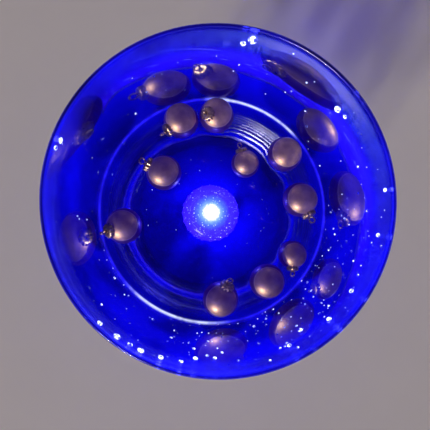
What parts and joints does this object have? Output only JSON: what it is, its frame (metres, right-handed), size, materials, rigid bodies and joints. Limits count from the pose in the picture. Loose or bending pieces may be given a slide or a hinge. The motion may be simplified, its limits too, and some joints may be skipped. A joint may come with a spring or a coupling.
{
  "type": "lit water bowl with floating baubles",
  "caption": "Round ribbed glass bowl part-filled with water, lit from its floor by a sealed twist lamp, with capped metallic baubles floating on the surface.",
  "frame": {"origin": "middle of the bowl's foot, on the table", "axes": "+Z up out of the bowl, +X to the right and +Y up in the picture, which looks straight down"},
  "size_m": [0.1326, 0.1326, 0.126],
  "materials": {
    "blue_glass": "polished blue glass, clear",
    "water": "still water, lit blue from below",
    "lamp_shell": "white moulded plastic",
    "seal_rubber": "dull black rubber",
    "contact_strip": "plain sheet brass",
    "cell_steel": "nickelled steel can",
    "lit_bulb": "clear resin, lit",
    "leg_wire": "tinned wire",
    "clear_cap": "clear moulded plastic, glowing blue",
    "bronze_lacquer": "bronze metallic lacquer, glossy",
    "gold_cap": "thin gold-coloured sheet, fluted",
    "gold_wire": "gold-coloured wire"
  },
  "bodies": {
    "bowl": {"glass_bowl": "blue_glass", "water": "water", "lamp_base": "lamp_shell", "seal_ring": "seal_rubber", "battery_contact": "contact_strip", "battery_lower": "cell_steel", "battery_upper": "cell_steel", "led_carrier": "lamp_shell", "led_bulb": "lit_bulb", "led_legs": "leg_wire"},
    "lamp_cap": {"lamp_lens": "clear_cap"},
    "float_01": {"ball_01": "bronze_lacquer", "ball_cap_01": "gold_cap", "hang_loop_01": "gold_wire"},
    "float_02": {"ball_02": "bronze_lacquer", "ball_cap_02": "gold_cap", "hang_loop_02": "gold_wire"},
    "float_03": {"ball_03": "bronze_lacquer", "ball_cap_03": "gold_cap", "hang_loop_03": "gold_wire"},
    "float_04": {"ball_04": "bronze_lacquer", "ball_cap_04": "gold_cap", "hang_loop_04": "gold_wire"},
    "float_05": {"ball_05": "bronze_lacquer", "ball_cap_05": "gold_cap", "hang_loop_05": "gold_wire"},
    "float_06": {"ball_06": "bronze_lacquer", "ball_cap_06": "gold_cap", "hang_loop_06": "gold_wire"},
    "float_07": {"ball_07": "bronze_lacquer", "ball_cap_07": "gold_cap", "hang_loop_07": "gold_wire"},
    "float_08": {"ball_08": "bronze_lacquer", "ball_cap_08": "gold_cap", "hang_loop_08": "gold_wire"},
    "float_09": {"ball_09": "bronze_lacquer", "ball_cap_09": "gold_cap", "hang_loop_09": "gold_wire"},
    "float_10": {"ball_10": "bronze_lacquer", "ball_cap_10": "gold_cap", "hang_loop_10": "gold_wire"}
  },
  "joints": [
    {"name": "lamp_twist", "type": "hinge", "parent": "bowl", "child": "lamp_cap", "pos_m": [0, 0, 0.016], "axis": [0, 0, 1], "range_deg": [0, 40]},
    {"name": "float_01_lift", "type": "slide", "parent": "bowl", "child": "float_01", "axis": [0, 0, 1], "range_m": [0, 0.09]},
    {"name": "float_02_lift", "type": "slide", "parent": "bowl", "child": "float_02", "axis": [0, 0, 1], "range_m": [0, 0.09]},
    {"name": "float_03_lift", "type": "slide", "parent": "bowl", "child": "float_03", "axis": [0, 0, 1], "range_m": [0, 0.09]},
    {"name": "float_04_lift", "type": "slide", "parent": "bowl", "child": "float_04", "axis": [0, 0, 1], "range_m": [0, 0.09]},
    {"name": "float_05_lift", "type": "slide", "parent": "bowl", "child": "float_05", "axis": [0, 0, 1], "range_m": [0, 0.09]},
    {"name": "float_06_lift", "type": "slide", "parent": "bowl", "child": "float_06", "axis": [0, 0, 1], "range_m": [0, 0.09]},
    {"name": "float_07_lift", "type": "slide", "parent": "bowl", "child": "float_07", "axis": [0, 0, 1], "range_m": [0, 0.09]},
    {"name": "float_08_lift", "type": "slide", "parent": "bowl", "child": "float_08", "axis": [0, 0, 1], "range_m": [0, 0.09]},
    {"name": "float_09_lift", "type": "slide", "parent": "bowl", "child": "float_09", "axis": [0, 0, 1], "range_m": [0, 0.09]},
    {"name": "float_10_lift", "type": "slide", "parent": "bowl", "child": "float_10", "axis": [0, 0, 1], "range_m": [0, 0.09]}
  ]
}
